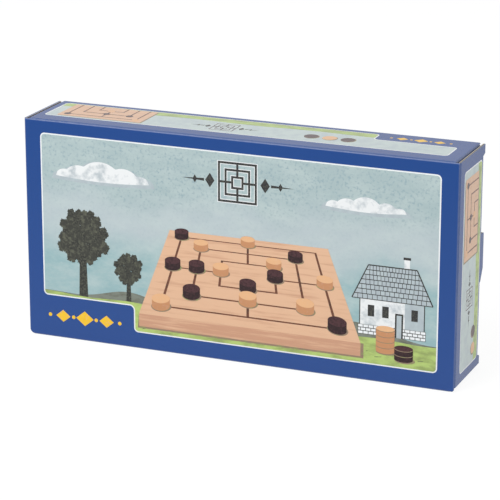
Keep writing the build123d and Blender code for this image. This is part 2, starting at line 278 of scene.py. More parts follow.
def printed_sky(inks):
    """Sponged sky under gloss film: speckled above, a pale band across the middle, stronger below."""
    material, add, place = new_material("printed_sky")
    height = add("SeparateXYZ", {0: place}, 2)
    drift = add("TexNoise", {"Vector": place, "Scale": 1 / DRIFT_WIDTH, "Detail": 3.0})
    wavy = add("Math", {0: drift, 1: SKY_DRIFT, 2: height}, operation="MULTIPLY_ADD")
    tint = inks.sky_low
    for (low, high), above in zip(SKY_BANDS, (inks.sky_haze, inks.sky)):
        part = add(
            "MapRange", {"Value": wavy, "From Min": low, "From Max": high},
            interpolation_type="SMOOTHSTEP")
        tint = add("Mix", {0: part, 6: tint, 7: above}, 2, data_type="RGBA")
    brushed = add("VectorMath", {0: place, 1: (0.45, 1, 1)}, operation="MULTIPLY")
    tint, _ = mottled(add, brushed, 9, (0.4, 0.7), tint, inks.pale, 0.55, 6.0, 0.65)
    speckled = add("MapRange", {"Value": part, "To Min": 0.15, "To Max": 0.85})
    tint, _ = mottled(add, place, 1.9, (0.52, 0.66), tint, inks.sky_speck, speckled, 4.0, 0.6)
    return finish_material(
        material, {"Base Color": tint, "Normal": film_relief(add, place), **FILM_GLOSS})


# The other inks of the prints: the colour, that of its dabs, their width in millimetres, how much
# they cover, and how far they are drawn out.
INKS = {
    "white": ("white", "cloud", 6.0, 0.3),
    "pale": ("pale", "sky_haze", 7.0, 0.5),
    "cloud": ("cloud", "cloud_shade", 7.0, 0.35),
    "cloud_shade": ("cloud_shade", "sky_haze", 4.0, 0.5),
    "hill": ("hill", "leaves", 3.0, 0.4, 0.4),
    "meadow": ("meadow", "grass", 4.0, 0.5, 0.35),
    "grass": ("grass", "leaves", 1.5, 0.6),
    "leaves": ("leaves", "leaves_dark", 2.2, 0.75),
    "bark": ("leaves_dark", "leaves", 1.2, 0.4),
    "timber": ("timber", "timber_dark", 2.2, 0.22, 0.06),
    "timber_edge": ("timber_dark", "timber", 2.0, 0.3, 0.06),
    "line": ("line", "leaves_dark", 2.0, 0.3),
    "light_man": ("light_man", "timber", 2.5, 0.15),
    "light_side": ("light_side", "timber_dark", 2.5, 0.15),
    "dark_man": ("dark_man", "dark_side", 1.5, 0.4),
    "dark_side": ("dark_side", "dark_man", 1.5, 0.3),
    "ornament": ("ornament", "leaves", 1.2, 0.3),
    "amber": ("amber", "light_man", 2.0, 0.15),
    "shade": ("shade", "grass", 3.0, 0.3),
}


def ink_materials(inks):
    """Every ink of the prints, by its name in the pictures."""
    materials = {"sky": printed_sky(inks)}
    for name, (base, speck, *dabs) in INKS.items():
        materials[name] = printed_ink("printed_" + name, getattr(inks, base), getattr(inks, speck), *dabs)
    return materials


FLUTE_PITCH = 2.4      # millimetres from flute to flute
BOARD = 1.5            # thickness of the board in millimetres
# As shares of that thickness: how far the flutes swing to each side, half the depth of the space
# that they swing in, and half the thickness of their paper, drawn as coarse as it needs to show.
FLUTE_SWING, FLUTE_SPACE, FLUTE_PAPER = 0.34, 0.33, 0.13
RAW_ROUGHNESS = 0.8


def carton_board(name, out, across, outer, blue_edge_share, inks, finishes):
    """Micro-flute board: blue print under gloss film outside, grey-beige raw liner inside, and on every
    cut edge two liners with the wave of the flutes between them, with painted shade in the hollows
    around the flutes. The fifth argument is the share of that edge, from outside, that is printed blue:
    where the cutting rule pushed the printed liner down over it, and on the left closure a larger
    share that is painted shade on its cut edge. It is None on a plain panel."""
    material, add, place = new_material(name)
    normal = add("TexCoord", out="Normal")
    facing = add("VectorMath", {0: normal, 1: out}, "Value", operation="DOT_PRODUCT")
    cut = add("Math", {0: facing, 1: 0.0, 2: 0.5}, operation="COMPARE")

    liner, _ = mottled(add, place, 0.9, (0.42, 0.66), finishes.liner, finishes.liner_fibre, rough=0.75)
    depth = add("VectorMath", {0: place, 1: out}, "Value", operation="DOT_PRODUCT")
    inward = add("MapRange", {"Value": depth, "From Min": outer, "From Max": outer - BOARD})
    along = add("VectorMath", {0: place, 1: across}, "Value", operation="DOT_PRODUCT")
    angle = add("Math", {0: along, 1: 2 * math.pi / FLUTE_PITCH}, operation="MULTIPLY")
    swing = add("Math", {0: angle}, operation="SINE")
    centre = add("Math", {0: swing, 1: FLUTE_SWING, 2: 0.5}, operation="MULTIPLY_ADD")
    medium = add("Math", {0: inward, 1: centre, 2: FLUTE_PAPER}, operation="COMPARE")
    core = add("Math", {0: inward, 1: 0.5, 2: FLUTE_SPACE}, operation="COMPARE")
    shell = add("Math", {0: 1.0, 1: core}, operation="SUBTRACT")
    paper = add("Math", {0: shell, 1: medium}, operation="MAXIMUM")
    # Liners and flute paper on the cut edge, and painted shade in the hollows between them.
    edge = add("Mix", {0: paper, 6: finishes.flute_hollow_shade, 7: finishes.edge_paper}, 2, data_type="RGBA")
    tint = add("Mix", {0: cut, 6: liner, 7: edge}, 2, data_type="RGBA")
    rough = RAW_ROUGHNESS

    if blue_edge_share is not None:
        # Blue grows paler towards the base: a painted reflection of the white floor in the film.
        height = add("SeparateXYZ", {0: place}, 2)
        rise = add("MapRange", {"Value": height, "From Max": HEIGHT})
        blue = add("Mix", {0: rise, 6: inks.blue, 7: inks.blue_high}, 2, data_type="RGBA")
        # Paler along the creases: ink stretched and rubbed at the fold, and a painted highlight along the
        # rounded edge, broken into patches by a noise.
        crease_wear_and_highlight = add("MapRange", {"Value": facing, "From Min": 0.98, "From Max": 0.86, "To Max": 0.14})
        crease_noise = add("TexNoise", {"Vector": place, "Scale": 1 / 3.0, "Detail": 6.0, "Roughness": 0.7})
        crease_patches = add("MapRange", {"Value": crease_noise, "From Min": 0.25, "From Max": 0.75, "To Min": 0.5})
        pale = add("Math", {0: crease_wear_and_highlight, 1: crease_patches}, operation="MULTIPLY")
        skin = add("Mix", {0: pale, 6: blue, 7: inks.white}, 2, data_type="RGBA")
        outside = add("Math", {0: facing, 1: 0.5}, operation="GREATER_THAN")
        # The outer share of a cut edge is printed blue; on the left closure most of that blue is painted
        # shade.
        in_blue_share = add("Math", {0: inward, 1: blue_edge_share}, operation="LESS_THAN")
        blue_cut_edge = add("Math", {0: in_blue_share, 1: cut}, operation="MULTIPLY")
        film = add("Math", {0: outside, 1: blue_cut_edge}, operation="MAXIMUM")
        tint = add("Mix", {0: film, 6: tint, 7: skin}, 2, data_type="RGBA")
        rough = add(
            "MapRange",
            {"Value": film, "To Min": RAW_ROUGHNESS, "To Max": FILM_GLOSS["Roughness"]})
    return finish_material(
        material,
        {"Base Color": tint, "Roughness": rough, "IOR": FILM_GLOSS["IOR"],
         "Normal": film_relief(add, place)})


SEAM_WIDTH = 0.4       # millimetres


def turned_wood(name, base, grain, along, gloss, seam=None):
    """Planed and lacquered hardwood: long soft grain, short dark rays and a low satin sheen.
    seam is the depth, in millimetres, at which two pieces meet in a thin dark line."""
    material, add, place = new_material(name)

    def grained(length, width):
        scale = Vector([1 / length if axis == along else 1 / width for axis in "XYZ"])
        return add("VectorMath", {0: place, 1: scale}, operation="MULTIPLY")

    soft, bands = mottled(add, grained(70, 2.6), 1, (0.36, 0.68), base, grain, 1.0, 5.0, 0.55, 0.4)
    tint, rays = mottled(add, grained(3.0, 0.5), 1, (0.6, 0.72), soft, grain * 0.55, 0.55, 2.0)
    if seam is not None:
        depth = add("SeparateXYZ", {0: place}, 1)
        near = add("Math", {0: depth, 1: seam, 2: SEAM_WIDTH / 2}, operation="COMPARE")
        normal = add("TexCoord", out="Normal")
        faced = add("SeparateXYZ", {0: normal}, 1)
        aside = add("Math", {0: faced, 1: 0.0, 2: 0.5}, operation="COMPARE")
        joint = add("Math", {0: near, 1: aside}, operation="MULTIPLY")
        tint = add("Mix", {0: joint, 6: tint, 7: grain * 0.12}, 2, data_type="RGBA")
    relief = add("Bump", {"Height": rays, "Strength": 0.4, "Distance": 0.03 * MM})
    sheen = add("MapRange", {"Value": bands, "To Min": gloss - 0.06, "To Max": gloss + 0.1})
    return finish_material(
        material, {"Base Color": tint, "Roughness": sheen, "IOR": 1.5, "Normal": relief})


def stamped_brass(finishes):
    """Thin brass, stamped and lightly lacquered: warm, bright at the bends, faintly scratched."""
    material, add, place = new_material("stamped_brass")
    drawn = add("VectorMath", {0: place, 1: (0.12, 3.0, 3.0)}, operation="MULTIPLY")
    scratches = add("TexNoise", {"Vector": drawn, "Scale": 2.0, "Detail": 4.0})
    rough = add("MapRange", {"Value": scratches, "To Min": 0.2, "To Max": 0.42})
    tint = add("Mix", {0: scratches, 6: finishes.brass, 7: finishes.brass * 0.72}, 2, data_type="RGBA")
    relief = add("Bump", {"Height": scratches, "Strength": 0.3, "Distance": 0.02 * MM})
    return finish_material(
        material, {"Base Color": tint, "Metallic": 1.0, "Roughness": rough, "Normal": relief})


def uncoated_paper(finishes):
    """Uncoated paper: matt, with a faint cloud of fibres."""
    material, add, place = new_material("uncoated_paper")
    tint, fibres = mottled(add, place, 1.5, (0.4, 0.7), finishes.paper, finishes.paper_fibre, rough=0.7)
    relief = add("Bump", {"Height": fibres, "Strength": 0.3, "Distance": 0.02 * MM})
    return finish_material(material, {"Base Color": tint, "Roughness": 0.9, "Normal": relief})


# ---- outlines, in millimetres on a face

ARC_STEPS = 8
CLOUD_STEPS = 60
CLUMP_STEPS = 40
TRIM_STEP = 1.5        # millimetres between the points along a trimmed outline
SAME_POINT = 0.01      # millimetres within which two points are one


def picture_edge(points, radius, inset=0):
    """A square-cornered outline moved inwards by inset, its corners rounded about the same centres."""
    outline = []
    for index, point in enumerate(points):
        here = Vector(point)
        come = (here - Vector(points[index - 1])).normalized()
        leave = (Vector(points[(index + 1) % len(points)]) - here).normalized()
        middle = here + (leave - come) * radius
        bend = come.cross(leave)
        spoke = leave * (bend * inset - radius)
        for step in range(ARC_STEPS + 1):
            outline.append(middle + Matrix.Rotation(bend * math.pi / 2 * step / ARC_STEPS, 2) @ spoke)
    return outline


def trimmed(outline, keep, line):
    """An outline cut off along v = line(u). keep is min for the part below it and max for above."""
    points = []
    for index, start in enumerate(outline):
        end = outline[(index + 1) % len(outline)]
        pieces = max(1, math.ceil((end - start).length / TRIM_STEP))
        for piece in range(pieces):
            u, v = start.lerp(end, piece / pieces)
            points.append(Vector((u, keep(v, line(u)))))
    return [point for index, point in enumerate(points) if (point - points[index - 1]).length > SAME_POINT]


def wave(level, swing, stretch):
    """An edge that waves about a level, for an outline to be trimmed along."""
    return lambda u: level + swing * math.sin(u / stretch)


def disc(u, v, wide, high=None, steps=28):
    """A circle or ellipse round u and v."""
    high = wide if high is None else high
    angles = [2 * math.pi * step / steps for step in range(steps)]
    return [Vector((u + wide * math.cos(a), v + high * math.sin(a))) for a in angles]


def bar(start, end, width):
    """A straight stroke with square ends."""
    start, end = Vector(start), Vector(end)
    run = (end - start).normalized()
    side = Vector((-run.y, run.x)) * width / 2
    return [start - side, end - side, end + side, start + side]


def diamond(u, v, wide, high):
    """A lozenge round u and v."""
    return [(u - wide, v), (u, v - high), (u + wide, v), (u, v + high)]


def box_outline(left, low, right, high):
    """A plain rectangle."""
    return [(left, low), (right, low), (right, high), (left, high)]


def cloud_outline(puffs, base):
    """A row of round puffs (u, radius) above a gently bowed base."""
    left = min(u - radius for u, radius in puffs)
    right = max(u + radius for u, radius in puffs)
    crown, keel = [], []
    for step in range(CLOUD_STEPS + 1):
        u = left + (right - left) * step / CLOUD_STEPS
        rise = max(radius ** 2 - (u - middle) ** 2 for middle, radius in puffs)
        crown.append((u, base + math.sqrt(max(rise, 0.0)) * 0.8))
        keel.append((u, base - 1.6 * math.sin(math.pi * step / CLOUD_STEPS)))
    return keel[1:-1] + crown[::-1]


def clump_outline(u, v, radius, phase):
    """The ragged edge of a clump of leaves."""
    outline = []
    for step in range(CLUMP_STEPS):
        a = 2 * math.pi * step / CLUMP_STEPS
        ragged = 1 + 0.1 * math.sin(5 * a + phase) + 0.07 * math.sin(13 * a + 2 * phase)
        ragged += 0.08 * math.sin(21 * a + 3 * phase)
        outline.append((u + radius * ragged * math.cos(a), v + 1.12 * radius * ragged * math.sin(a)))
    return outline


# ---- prints

def add_object(name, data):
    """A new object of the scene."""
    piece = bpy.data.objects.new(name, data)
    bpy.context.scene.collection.objects.link(piece)
    return piece


class Picture:
    """One print on a face: closed films of ink, each standing as high as its layer."""

    def __init__(self, name, face, sizes):
        self.name, self.face = name, face
        self.film = sizes.film / MM
        self.corner, self.line = sizes.corner / MM, sizes.outline / MM
        self.mesh = bmesh.new()
        self.inks = []

    def lay(self, ink, outline, layer, place=lambda u, v: (u, v)):
        """Adds one film of ink with this outline, whose points place turns into the face's."""
        if ink not in self.inks:
            self.inks.append(ink)
        points = [place(u, v) for u, v in outline]
        rise = layer * self.film
        low = [self.mesh.verts.new(at(self.face, u, v, 0)) for u, v in points]
        high = [self.mesh.verts.new(at(self.face, u, v, rise)) for u, v in points]
        sheets = [self.mesh.faces.new(high), self.mesh.faces.new(low[::-1])]
        for index in range(len(points)):
            sheets.append(self.mesh.faces.new((low[index - 1], low[index], high[index], high[index - 1])))
        for sheet in sheets:
            sheet.material_index = self.inks.index(ink)

    def frame(self, ink, reach, width, layer, place):
        """Adds a square line of the game, its outside reach from the centre, as four mitred strokes."""
        turns = TURNS[::2]
        for near, far in zip(turns, turns[1:] + turns[:1]):
            corners = ((near, reach), (far, reach), (far, reach - width), (near, reach - width))
            self.lay(ink, [(du * share, dv * share) for (du, dv), share in corners], layer, place)

    def ground(self, ink, points):
        """Lays the picture's white outline and the ground inside it, and gives that inside."""
        inside = picture_edge(points, self.corner, self.line)
        self.lay("white", picture_edge(points, self.corner), 1)
        self.lay(ink, inside, 2)
        return inside

    def finish(self, materials):
        """Turns the films into one object on the face's body."""
        bmesh.ops.recalc_face_normals(self.mesh, faces=self.mesh.faces)
        sheets = [face for face in self.mesh.faces if len(face.verts) > 4]
        bmesh.ops.triangulate(self.mesh, faces=sheets)
        data = bpy.data.meshes.new(self.name)
        self.mesh.to_mesh(data)
        self.mesh.free()
        for ink in self.inks:
            data.materials.append(materials[ink])
        piece = add_object(self.name, data)
        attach(piece, self.face.body)


# The three squares of the game, as shares of half the board's side, and its eight turns.
SQUARES = (112 / 136, 76 / 136, 40 / 136)
TURNS = ((-1, -1), (0, -1), (1, -1), (1, 0), (1, 1), (0, 1), (-1, 1), (-1, 0))

SHADOW_SPREAD = 1.12   # width of a man's printed shadow, as a share of the man's
GOLDEN_ANGLE = math.pi * (3 - math.sqrt(5))
CLUMPS = 46            # clumps of leaves in a tree


def flat_place(u, v, scale=1.0):
    """A placing of what is drawn straight on, with its centre at u and v."""
    return lambda x, y: Vector((u + x * scale, v + y * scale))


def receding_place(centre, near, far, near_v, far_v, side):
    """A placing of a square board that lies on the ground and recedes straight ahead. near and far
    are the widths of its edges there, and near_v and far_v their heights."""
    shrink = near / far - 1
    horizon = near_v + (far_v - near_v) * (1 + shrink) / shrink

    def place(x, y):
        depth = 1 + shrink * (y / side + 0.5)
        return Vector((centre + x / side * near / depth, horizon - (horizon - near_v) / depth))
    return place


def draw_board(picture, place, side, layer, light, dark, lift=0.0):
    """Draws a playing board of the given side with its lines, and men at (square, turn) places.
    place turns a point, measured from the board's centre, into one of the face. lift is the
    thickness of a man there."""
    half, line, fold = side / 2, 0.0125 * side, 0.004 * side
    picture.lay("timber", box_outline(-half, -half, half, half), layer, place)
    for share in SQUARES:
        picture.frame("line", share * half + line / 2, line, layer + 1, place)
    for way in map(Vector, TURNS[1::2]):
        for outer, inner in zip(SQUARES, SQUARES[1:]):
            stroke = bar(way * (outer * half - line / 2), way * (inner * half + line / 2), line)
            picture.lay("line", stroke, layer + 1, place)
    for rim in (-half, half):
        picture.lay("timber_edge", bar((rim, 0), (rim * SQUARES[0], 0), fold), layer + 1, place)
    for ink, places in (("light", light), ("dark", dark)):
        for square, turn in places:
            centre = Vector(TURNS[turn]) * SQUARES[square] * half
            draw_man(picture, place, centre, 0.043 * side, ink, layer + 1, lift)


def draw_man(picture, place, centre, radius, ink, layer, lift):
    """Draws one man: its printed shadow, its side where it has a thickness, and its top."""
    foot = [place(*point) for point in disc(*centre, radius)]
    half = len(foot) // 2
    middle = place(*centre)
    shadow = [middle + (point - middle) * SHADOW_SPREAD + Vector((0.3, -0.3)) for point in foot]
    picture.lay("shade", shadow, layer + 1)
    top = [point + Vector((0, lift * (foot[0].x - foot[half].x) / (2 * radius))) for point in foot]
    if lift:
        picture.lay(ink + "_side", top[:half + 1] + foot[half:] + foot[:1], layer + 2)
    picture.lay(ink + "_man", top, layer + 3)


def draw_stack(picture, u, v, radius, thickness, count, ink, layer):
    """Draws a stack of men standing at u and v: one band for each side, and the top one's face."""
    flat = 0.3 * radius
    ring = disc(u, v, radius, flat, 40)
    bow = ring[20:] + ring[:1]
    picture.lay("shade", disc(u + 0.8, v - 0.5, radius * SHADOW_SPREAD, flat * 1.15), layer)
    for man in range(count):
        low, high, seam = (Vector((0, (man + share) * thickness)) for share in (0, 0.88, 1))
        picture.lay(ink + "_side", [p + low for p in bow] + [p + high for p in bow[::-1]], layer + 1)
        picture.lay("shade", [p + high for p in bow] + [p + seam for p in bow[::-1]], layer + 1)
    picture.lay(ink + "_man", disc(u, v + count * thickness, radius, flat), layer + 2)


def draw_flat_men(picture, v, radius, shift, men):
    """Draws a row of men (u, ink) seen from above, each with a shadow shifted to its lower right."""
    for u, ink in men:
        picture.lay("shade", disc(u + shift, v - shift, radius + 0.3), 4)
        picture.lay(ink + "_man", disc(u, v, radius), 5)


def draw_half_board(picture, left, low, scale, layer):
    """Draws the lower half of the folding board from its lower left corner, with a few men on it."""
    half, line, man = 136.0, 4.5, 11      # of the real board, in millimetres
    place = flat_place(left + half * scale, low + half * scale, scale)
    picture.lay("timber", box_outline(-half, -half, half, 0), layer, place)
    for share in SQUARES:
        wide, narrow = share * half + line / 2, share * half - line / 2
        turns = [
            (-wide, 0), (-wide, -wide), (wide, -wide), (wide, 0),
            (narrow, 0), (narrow, -narrow), (-narrow, -narrow), (-narrow, 0)]
        picture.lay("line", turns, layer + 1, place)
    for outer, inner in zip(SQUARES, SQUARES[1:]):
        stroke = bar((0, line / 2 - outer * half), (0, -line / 2 - inner * half), line)
        picture.lay("line", stroke, layer + 1, place)
    men = ((0, 0, "dark"), (0, 2, "light"), (1, 1, "dark"), (2, 1, "light"), (1, 2, "dark"))
    for square, turn, ink in men:
        centre = Vector(TURNS[turn]) * SQUARES[square] * half
        picture.lay(ink + "_man", disc(*centre, man), layer + 2, place)


def draw_tree(picture, u, v, height, radius, phase, layer):
    """Draws a tree that stands at u and v: a forked trunk under many small clumps of leaves."""
    crown, trunk = v + height - radius, 0.11 * radius
    foot = 1.6 * trunk
    picture.lay("bark", [(u - foot, v), (u + foot, v), (u + trunk, crown), (u - trunk, crown)], layer)
    for lean, rise in ((-0.5, 0.3), (0.5, 0.6)):
        fork = bar((u, v + 0.35 * height), (u + lean * radius, crown), 1.2 * trunk)
        picture.lay("bark", fork, layer + rise)
    for index in range(CLUMPS):
        reach = 0.88 * radius * math.sqrt((index + 0.5) / CLUMPS)
        turn = index * GOLDEN_ANGLE + phase
        size = radius * (0.17 + 0.05 * math.sin(5 * index + phase))
        centre = (u + reach * math.cos(turn), crown + 1.1 * reach * math.sin(turn))
        ink = "leaves" if index % 3 else "bark"
        picture.lay(ink, clump_outline(*centre, size, phase + index), layer + 1 + index / CLUMPS)


def draw_cottage(picture, u, v, width, layer):
    """Draws a cottage that stands at u and v: a pale wall on a brick plinth under a hipped roof.
    Its places are shares of its width, and the weights of its strokes are in millimetres."""
    place = flat_place(u, v, width)

    def block(ink, left, low, right, high, rise):
        picture.lay(ink, box_outline(left, low, right, high), layer + rise, place)

    def stroke(start, end, rise, weight=0.55):
        picture.lay("ornament", bar(place(*start), place(*end), weight), layer + rise)

    wall_left, wall_right, wall_high, shaded_from = 0.1, 0.9, 0.46, 0.66
    plinth_left, plinth_right, plinth_high = 0.08, 0.92, 0.12
    block("cloud", wall_left, 0.0, wall_right, wall_high, 0)
    block("cloud_shade", shaded_from, plinth_high, wall_right, wall_high, 0.5)
    block("ornament", plinth_left, 0.0, plinth_right, plinth_high, 1)

    bricks, courses, joint, bed = 13, 3, 0.004, 0.005
    brick_wide, brick_high = (plinth_right - plinth_left) / bricks, plinth_high / courses
    for course in range(courses):
        shift = 0.5 * (course % 2)
        low, high = course * brick_high + bed, (course + 1) * brick_high - joint
        for brick in range(-(course % 2), bricks):
            left = max(plinth_left + (brick + shift) * brick_wide, plinth_left) + joint
            right = min(plinth_left + (brick + shift + 1) * brick_wide, plinth_right) - joint
            block("white", left, low, right, high, 1.5)

    sill, glazing_bar, lintel, window_wide = 0.23, 0.3, 0.37, 0.08
    for left in (0.2, 0.38, 0.74):
        block("ornament", left, sill, left + window_wide, lintel, 1)
        stroke((left, glazing_bar), (left + window_wide, glazing_bar), 1.2, 0.4)
    block("ornament", 0.54, 0.0, 0.64, 0.3, 2)           # door frame
    block("cloud_shade", 0.56, 0.0, 0.62, 0.28, 2.5)     # door
    block("cloud", 0.64, 0.78, 0.71, 0.98, 0)            # chimney
    block("ornament", 0.63, 0.97, 0.72, 1.0, 1)          # chimney cap

    eaves_high, ridge_high, ridge_left = 0.44, 0.86, 0.2
    eaves = ((0.0, eaves_high), (1.0, eaves_high))
    ridge = ((1.0 - ridge_left, ridge_high), (ridge_left, ridge_high))
    picture.lay("cloud_shade", eaves + ridge, layer + 2, place)
    rows, tiles = 7, 16
    row_high = (ridge_high - eaves_high) / rows
    for row in range(rows + 1):
        left, above = ridge_left * row / rows, eaves_high + row * row_high
        stroke((left, above), (1.0 - left, above), 2.5, 0.5)
        for tile in range(1, tiles if row < rows else 0):
            across = left + (tile + 0.5 * (row % 2) + 0.2) / (tiles + 0.5) * (1.0 - 2 * left)
            stroke((across, above), (across, above + row_high), 2.7, 0.35)
    for rise, start, end in ((3, eaves[0], ridge[1]), (3.2, eaves[1], ridge[0]), (3.4, ridge[0], ridge[1])):
        stroke(start, end, rise, 0.7)
    for across in (0.1, 0.9):
        stroke((across, plinth_high), (across, eaves_high), 3)


def draw_mill_ornament(picture, u, v, reach, layer):
    """Draws a plain dark ornament: three nested squares between diamonds and tapered strokes."""
    place = flat_place(u, v, reach)
    squares, stroke, halo = (1.0, 0.66, 0.32), 0.11, 0.035
    for share in squares:
        picture.frame("white", share + halo, stroke + 2 * halo, layer - 0.5, place)
        picture.frame("ornament", share, stroke, layer, place)
    for way in map(Vector, TURNS[1::2]):
        for outer, inner in zip(squares, squares[1:]):
            picture.lay("ornament", bar(way * (outer - stroke), way * inner, stroke), layer, place)
    for side in (-1, 1):
        picture.lay("ornament", diamond(side * 1.42, 0, 0.24, 0.36), layer, place)
        taper = [(side * 1.72, -0.07), (side * 2.9, 0), (side * 1.72, 0.07)]
        picture.lay("ornament", taper, layer, place)
        picture.lay("ornament", diamond(side * 2.2, 0, 0.12, 0.2), layer + 1, place)


def draw_amber_marks(picture, u, v, spacing, wide):
    """Draws a row of three amber lozenges with dots between them, round u and v."""
    for step, share in ((-1, 0.82), (0, 1.0), (1, 0.82)):
        picture.lay("amber", diamond(u + step * spacing, v, share * wide, 0.8 * share * wide), 1)
    for step in (-1.6, -0.52, 0.52, 1.6):
        picture.lay("amber", disc(u + step * spacing, v, 0.2 * wide), 1)


def picture_box(sizes):
    """The left, lower, right and upper edge of the pictures on the front and the back."""
    side = sizes.side_border / MM
    return side, sizes.low_border / MM, LENGTH - side, HEIGHT - sizes.top_border / MM


# The puffs of each cloud (u, radius), first in its shade and then on its bright side.
CLOUDS = (
    (((26, 7), (37, 12), (52, 17), (70, 13), (84, 7)), ((28, 6), (38, 10), (53, 14.5), (69, 11), (81, 6))),
    (((208, 6), (218, 9), (231, 12), (246, 8), (255, 5)),
     ((210, 5), (219, 7.5), (231, 10), (244, 7), (253, 4))))


def front_picture(sizes, materials):
    """The large picture of the front: clouds, trees, a cottage and a playing board on a meadow."""
    picture = Picture("front_print", FACES["front"], sizes)
    left, low, right, high = picture_box(sizes)
    patch_u, patch_v = left + sizes.patch_width / MM, low + sizes.patch_height / MM
    inside = picture.ground("sky", [
        (left, patch_v), (patch_u, patch_v), (patch_u, low), (right, low), (right, high), (left, high)])
    for shade, bright in CLOUDS:
        picture.lay("cloud_shade", cloud_outline(shade, high - 29), 3)
        picture.lay("cloud", cloud_outline(bright, high - 27), 4)

    grass, slope = wave(low + sizes.meadow / MM, 0.5, 9), 0.014

    def meadow(u):
        return grass(u) - slope * u

    def hills(u):
        return meadow(u) + 0.3 + 6 * math.exp(-((u - 72) / 24) ** 2) + 9 * math.exp(-((u - 222) / 30) ** 2)

    picture.lay("hill", trimmed(inside, min, hills), 3)
    picture.lay("meadow", trimmed(inside, min, meadow), 5)
    strokes, spacing = 34, 5.6
    for index in range(strokes):
        u, v = patch_u + 6 + spacing * index, low + 3 + 8 * ((index * 0.618) % 1)
        picture.lay("grass", bar((u, v), (u + 2.5 + 2 * math.sin(index * 2.3), v + 0.5), 0.45), 6)
    for u, height, radius, phase in ((40, 58, 18, 0.9), (72, 32, 10, 1.7)):
        draw_tree(picture, u, meadow(u) - 0.4, height, radius, phase, 4)
    draw_cottage(picture, 223, meadow(245) + 2.0, 52, 6)

    side, board_depth, man_thickness = 144.0, 8.5, 5.0
    place = receding_place(154, 150, 106, 24.0, 82.0, side)
    (near_left, near), (near_right, _) = place(-side / 2, -side / 2), place(side / 2, -side / 2)
    foot, shadow_foot, shadow_right = near - board_depth, near - board_depth - 1.2, near_right + 2
    shadow = [
        (near_left - 1, shadow_foot), (shadow_right, shadow_foot), (shadow_right, near), (near_left, near)]
    picture.lay("shade", shadow, 6.5)
    picture.lay("timber_edge", box_outline(near_left, foot, near_right, near), 7)
    light = ((0, 0), (0, 3), (1, 1), (1, 6), (2, 4), (2, 7), (0, 5), (1, 2))
    dark = ((0, 2), (1, 0), (1, 4), (2, 1), (2, 3), (0, 7), (1, 7), (0, 6))
    draw_board(picture, place, side, 7, light, dark, man_thickness)
    radius, thickness = 6.0, 3.6
    draw_stack(picture, 245, 21, radius, thickness, 4, "light", 12)
    draw_stack(picture, 257, 17, radius, thickness, 2, "dark", 14)
    draw_mill_ornament(picture, 147, high - 19, 13, 3)
    draw_amber_marks(picture, left + 29, low + 4.2, 15.5, 6.2)
    picture.finish(materials)


def end_picture(end, sizes, materials):
    """The narrow picture of an end: a grass strip, half a board, an ornament and two men."""
    picture = Picture(end + "_end_print", FACES[end], sizes)
    side, low, high = 8.5, 9.0, FACES[end].height - 3.0
    inside = picture.ground("pale", box_outline(side, low, HEIGHT - side, high))
    picture.lay("meadow", trimmed(inside, max, wave(high - 8.0, 0.6, 11)), 3)
    picture.lay("shade", box_outline(15, 11, 66.6, 39), 4)
    draw_half_board(picture, 14, 12, 0.19, 5)
    draw_mill_ornament(picture, 92, 25, 6.5, 4)
    draw_flat_men(picture, 35, 3.7, 0.4, ((116, "dark"), (127, "light")))
    picture.finish(materials)


def top_picture(sizes, materials):
    """The long narrow picture of the top, with its blue patch at the rear right."""
    picture = Picture("top_print", FACES["top"], sizes)
    left, front, right, rear = 8.0, 12.0, LENGTH - 12.0, DEPTH - 4.4
    patch_u, patch_v = 224.0, 33.0
    picture.ground("pale", [
        (left, front), (right, front), (right, patch_v), (patch_u, patch_v), (patch_u, rear), (left, rear)])
    beside_patch = picture_edge(box_outline(left, front, patch_u, rear), picture.corner, picture.line)
    picture.lay("meadow", trimmed(beside_patch, max, wave(rear - 8.5, 0.7, 13)), 3)
    picture.lay("shade", box_outline(17, 14.2, 75, 43.5), 4)
    draw_half_board(picture, 16, 15, 0.213, 5)
    draw_mill_ornament(picture, 128, 25, 8.0, 4)
    draw_flat_men(picture, 25, 4.6, 0.5, ((186, "dark"), (198, "light"), (210, "dark")))
    draw_amber_marks(picture, 252, 40.2, 12.0, 4.6)
    picture.finish(materials)


# The light and the dark men's (square, turn) places at three stages of a game.
STAGES = (
    (((0, 0), (1, 3), (2, 5)), ((0, 4), (1, 1))),
    (((0, 0), (1, 3), (2, 5), (0, 1), (1, 6)), ((0, 4), (1, 1), (2, 1), (0, 7), (1, 5))),
    (((0, 0), (0, 1), (0, 2), (1, 3), (2, 5), (1, 6)), ((0, 4), (1, 1), (2, 1), (0, 7), (1, 5), (2, 7))))


def back_picture(sizes, materials):
    """The picture of the back: three boards seen from above, each one further into a game."""
    picture = Picture("back_print", FACES["back"], sizes)
    left, low, right, high = picture_box(sizes)
    inside = picture.ground("sky", box_outline(left, low, right, high))
    picture.lay("meadow", trimmed(inside, min, wave(low + 22, 1.4, 29)), 3)
    side, foot, shift = 72.0, 36.0, 1.2
    gap = (right - left - 3 * side) / 4
    for index, (light, dark) in enumerate(STAGES):
        u = left + gap + index * (side + gap)
        picture.lay("shade", box_outline(u + shift, foot - shift, u + side + shift, foot + side - shift), 4)
        draw_board(picture, flat_place(u + side / 2, foot + side / 2), side, 5, light, dark)
    picture.finish(materials)


def leaflet_picture(sizes, materials):
    """The leaflet's first page: two plain diagrams of the game between a rule above and one below."""
    low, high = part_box("rules_leaflet")
    wide, tall = (high.x - low.x) / MM, (high.z - low.z) / MM
    picture = Picture("leaflet_print", face_on("carton", low, RIGHT, UP, wide, tall), sizes)
    margin, rule, side, spacing, foot = 14.0, 0.8, 68.0, 92.0, 26.0
    for v in (tall - margin, 12.0):
        picture.lay("ornament", box_outline(margin, v, wide - margin, v + rule), 1)
    games = ((((0, 0), (1, 3)), ((0, 4), (2, 1))), (((0, 0), (0, 1), (0, 2)), ((0, 4), (1, 4), (2, 1))))
    for index, (light, dark) in enumerate(games):
        place = flat_place(20 + index * spacing + side / 2, foot + side / 2)
        draw_board(picture, place, side, 1, light, dark)
    picture.finish(materials)


# ---- carton, wood, brass and paper

